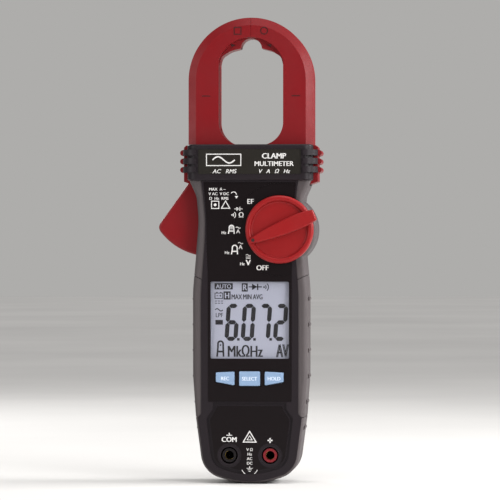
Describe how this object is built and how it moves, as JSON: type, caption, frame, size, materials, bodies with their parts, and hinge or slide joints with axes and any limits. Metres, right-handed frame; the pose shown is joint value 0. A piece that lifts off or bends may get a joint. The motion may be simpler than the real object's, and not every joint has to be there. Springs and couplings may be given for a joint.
{
  "type": "clamp meter",
  "caption": "Hand-held clamp meter: red hinged jaws with thumb trigger, dark casing with rotary dial, display, push buttons, side grips and input sockets.",
  "frame": {"origin": "centre of the round conductor seat between the jaw tips, at the middle of the jaws' thickness", "axes": "+Z towards the jaw tips along the meter's length, -Y out of the display towards the user, +X to the user's right"},
  "size_m": [0.0764, 0.037, 0.2169],
  "materials": {
    "jaw_plastic": "fine satin moulded surface",
    "knob_plastic": "satin moulded surface",
    "casing_plastic": "fine textured moulding",
    "grip_rubber": "soft matt overmould",
    "panel_film": "matt printed film",
    "plate_film": "matt film, blank",
    "lens_clear": "clear acrylic",
    "lcd": "reflective liquid crystal panel",
    "button_plastic": "satin pale blue",
    "socket_black": "moulded insulator",
    "socket_red": "moulded insulator",
    "pointer_paint": "dark inlay",
    "core_steel": "stacked laminations",
    "copper_wire": "enamelled copper wire",
    "lead_insulation": "insulated hook-up wire",
    "natural_plastic": "natural moulded plastic",
    "mat_rubber": "silicone rubber",
    "board": "solder-masked circuit board",
    "component": "moulded component",
    "brass": "bright",
    "steel": "zinc plated",
    "cell_jacket": "plain printed jacket"
  },
  "bodies": {
    "casing": {"battery_left": "cell_jacket", "battery_right": "cell_jacket", "battery_springs": "steel", "bridge_contact": "steel", "buzzer": "component", "case_screws": "steel", "coil_bobbin": "natural_plastic", "coil_leads": "lead_insulation", "coil_winding": "copper_wire", "com_socket_contact": "brass", "com_socket_post": "socket_black", "com_socket_strap": "brass", "control_chip": "component", "display_lens": "lens_clear", "fixed_jaw_core": "core_steel", "fixed_jaw_front_shell": "jaw_plastic", "fixed_jaw_rear_shell": "jaw_plastic", "foot_rim": "grip_rubber", "front_panel": "panel_film", "front_shell": "casing_plastic", "input_socket_contact": "brass", "input_socket_post": "socket_red", "input_socket_strap": "brass", "input_thermistor": "component", "input_varistor": "component", "jaw_pivot_pin": "steel", "jaw_return_spring": "steel", "keypad_mat": "mat_rubber", "lcd_frame": "natural_plastic", "lcd_glass": "lcd", "left_neck_strip": "grip_rubber", "left_side_grip": "grip_rubber", "main_board": "board", "name_plate": "plate_film", "negative_contact": "steel", "positive_contact": "steel", "rear_shell": "casing_plastic", "right_neck_strip": "grip_rubber", "right_side_grip": "grip_rubber", "zebra_strips": "mat_rubber"},
    "moving_jaw": {"moving_jaw_front_shell": "jaw_plastic", "moving_jaw_rear_shell": "jaw_plastic", "moving_jaw_core": "core_steel"},
    "dial": {"rotary_knob": "knob_plastic", "pointer_dot": "pointer_paint", "switch_rotor": "natural_plastic", "switch_wipers": "brass"},
    "left_key": {"left_button": "button_plastic"},
    "centre_key": {"centre_button": "button_plastic"},
    "right_key": {"right_button": "button_plastic"},
    "battery_door": {"battery_cover": "casing_plastic"},
    "door_screw": {"battery_cover_screw": "steel"}
  },
  "joints": [
    {"name": "jaw_open", "type": "hinge", "parent": "casing", "child": "moving_jaw", "pos_m": [-0.0193, 0, -0.0676], "axis": [0, -1, 0], "range_deg": [0, 24], "stiffness_Nm_per_rad": 0.6, "springref_deg": -25.78},
    {"name": "dial_turn", "type": "hinge", "parent": "casing", "child": "dial", "pos_m": [0.01405, -0.0145, -0.0844], "axis": [0, -1, 0], "range_deg": [-67.5, 45]},
    {"name": "left_press", "type": "slide", "parent": "casing", "child": "left_key", "axis": [0, 1, 0], "range_m": [0, 0.0007], "stiffness_N_per_m": 900, "springref_m": -0.0008},
    {"name": "centre_press", "type": "slide", "parent": "casing", "child": "centre_key", "axis": [0, 1, 0], "range_m": [0, 0.0007], "stiffness_N_per_m": 900, "springref_m": -0.0008},
    {"name": "right_press", "type": "slide", "parent": "casing", "child": "right_key", "axis": [0, 1, 0], "range_m": [0, 0.0007], "stiffness_N_per_m": 900, "springref_m": -0.0008},
    {"name": "door_lift", "type": "slide", "parent": "casing", "child": "battery_door", "axis": [0, 1, 0], "range_m": [0, 0.012]},
    {"name": "door_screw_turn", "type": "hinge", "parent": "battery_door", "child": "door_screw", "pos_m": [0, 0.0145, -0.1648], "axis": [0, 1, 0], "continuous": true}
  ]
}
